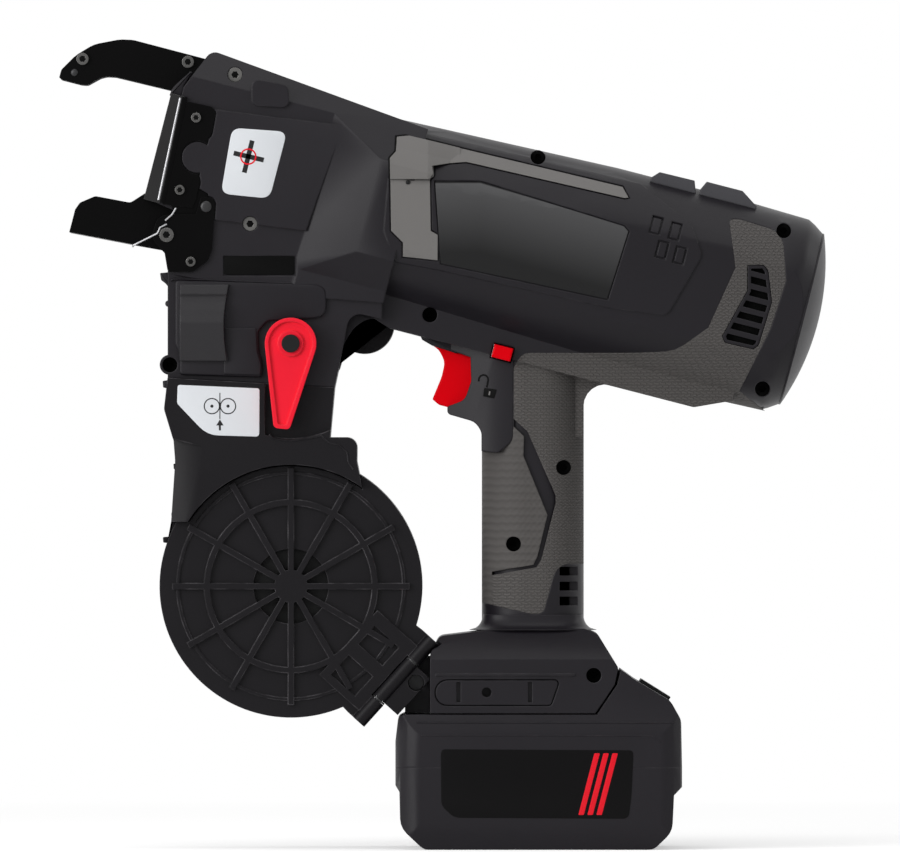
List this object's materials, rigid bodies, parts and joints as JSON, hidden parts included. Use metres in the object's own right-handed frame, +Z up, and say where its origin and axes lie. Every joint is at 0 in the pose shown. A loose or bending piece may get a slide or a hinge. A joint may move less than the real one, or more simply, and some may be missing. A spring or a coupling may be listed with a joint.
{
  "type": "rebar tying tool",
  "caption": "Hand-held battery tool that feeds wire round crossing bars and twists it tight: tilted barrel, jawed nose, wire reel magazine, rubber grip and slide-on battery.",
  "frame": {"origin": "centre of the battery pack's underside, on which the tool stands", "axes": "+X toward the rear of the tool, +Y toward its right side, +Z up"},
  "size_m": [0.3188, 0.0787, 0.3362],
  "materials": {
    "black_plastic": "satin",
    "grip_rubber": "matte",
    "bumper_rubber": "matte",
    "grey_plastic": "matte",
    "dark_plastic": "matte",
    "red_plastic": "gloss",
    "painted_steel": "satin",
    "bare_steel": "satin",
    "motor_steel": "satin",
    "gear_case_metal": "satin",
    "cell_metal": "satin",
    "board_plastic": "satin"
  },
  "bodies": {
    "housing": {"left_housing": "black_plastic", "right_housing": "black_plastic", "rear_cap": "black_plastic", "left_overmould": "grip_rubber", "right_overmould": "grip_rubber", "vent_grilles": "black_plastic", "side_trims": "grey_plastic", "side_badge": "dark_plastic", "top_bumpers": "bumper_rubber", "housing_screws": "bare_steel", "foot_plate": "black_plastic", "contact_plates": "bare_steel", "nose_side_plates": "painted_steel", "jaw_brackets": "painted_steel", "plate_screws": "bare_steel", "upper_jaw_plates": "painted_steel", "upper_jaw_guide": "bare_steel", "jaw_screws": "bare_steel", "lower_jaw_pin": "bare_steel", "jaw_spring": "bare_steel", "wire_guide": "bare_steel", "feed_motor": "motor_steel", "feed_reduction": "dark_plastic", "feed_motor_cover": "black_plastic", "reel_case": "black_plastic", "magazine_cover": "black_plastic", "door_hinge_pin": "bare_steel", "hinge_bracket": "black_plastic", "bracket_screw": "bare_steel", "reel_spindle": "black_plastic", "trigger_switch": "dark_plastic", "switch_bezel": "black_plastic", "control_board": "board_plastic", "terminal_block": "dark_plastic", "main_motor": "motor_steel", "rear_bearing": "bare_steel", "gear_case": "gear_case_metal", "front_bearing": "bare_steel"},
    "lower_jaw": {"lower_jaw": "painted_steel"},
    "lever": {"release_lever": "red_plastic", "lever_cap": "dark_plastic"},
    "drive_gear": {"drive_gear": "bare_steel"},
    "idler_gear": {"idler_gear": "bare_steel"},
    "door": {"reel_door": "black_plastic"},
    "reel": {"reel": "dark_plastic", "wire_coil": "bare_steel"},
    "trigger": {"trigger": "red_plastic"},
    "lock_button": {"lock_button": "red_plastic"},
    "battery": {"battery_lower_case": "black_plastic", "battery_upper_case": "black_plastic", "battery_cells": "cell_metal"},
    "battery_button": {"battery_button": "dark_plastic"},
    "rotor": {"rotor_shaft": "bare_steel", "cooling_fan": "dark_plastic"},
    "twister": {"twist_shaft": "bare_steel", "planet_gears": "bare_steel", "twist_hook": "bare_steel"}
  },
  "joints": [
    {"name": "lower_jaw_hinge", "type": "hinge", "parent": "housing", "child": "lower_jaw", "pos_m": [-0.15489, 0, 0.25478], "axis": [0, -1, 0], "range_deg": [0, 30], "stiffness_Nm_per_rad": 0.12, "springref_deg": -34.38, "deforming": ["jaw_spring"]},
    {"name": "lever_hinge", "type": "hinge", "parent": "housing", "child": "lever", "pos_m": [-0.10334, 0, 0.2097], "axis": [0, -1, 0], "range_deg": [0, 40]},
    {"name": "drive_gear_spin", "type": "hinge", "parent": "housing", "child": "drive_gear", "pos_m": [-0.11776, 0, 0.21191], "axis": [0, 1, 0], "continuous": true},
    {"name": "idler_gear_spin", "type": "hinge", "parent": "housing", "child": "idler_gear", "pos_m": [-0.13776, 0, 0.21191], "axis": [0, 1, 0], "continuous": true},
    {"name": "door_hinge", "type": "hinge", "parent": "housing", "child": "door", "pos_m": [-0.0599, -0.0274, 0.07002], "axis": [0.6691, 0, 0.7431], "range_deg": [0, 100]},
    {"name": "reel_spin", "type": "hinge", "parent": "housing", "child": "reel", "pos_m": [-0.1033, 0, 0.1091], "axis": [0, 1, 0], "continuous": true},
    {"name": "trigger_slide", "type": "slide", "parent": "housing", "child": "trigger", "axis": [1, 0, 0], "range_m": [0, 0.006], "stiffness_N_per_m": 600, "springref_m": -0.004},
    {"name": "lock_slide", "type": "slide", "parent": "housing", "child": "lock_button", "axis": [0, 1, 0], "range_m": [0, 0.003]},
    {"name": "battery_slide", "type": "slide", "parent": "housing", "child": "battery", "axis": [1, 0, 0], "range_m": [0, 0.08]},
    {"name": "battery_button_press", "type": "slide", "parent": "battery", "child": "battery_button", "axis": [-0.5299, 0, -0.848], "range_m": [0, 0.003], "stiffness_N_per_m": 800, "springref_m": -0.003},
    {"name": "rotor_spin", "type": "hinge", "parent": "housing", "child": "rotor", "pos_m": [0, 0, 0.2482], "axis": [0.9681, 0, -0.2504], "continuous": true},
    {"name": "twister_spin", "type": "hinge", "parent": "housing", "child": "twister", "pos_m": [0, 0, 0.2482], "axis": [0.9681, 0, -0.2504], "continuous": true}
  ],
  "couplings": [
    {"joint": "idler_gear_spin", "follows": "drive_gear_spin", "ratio": -1},
    {"joint": "rotor_spin", "follows": "twister_spin", "ratio": 4.6}
  ]
}
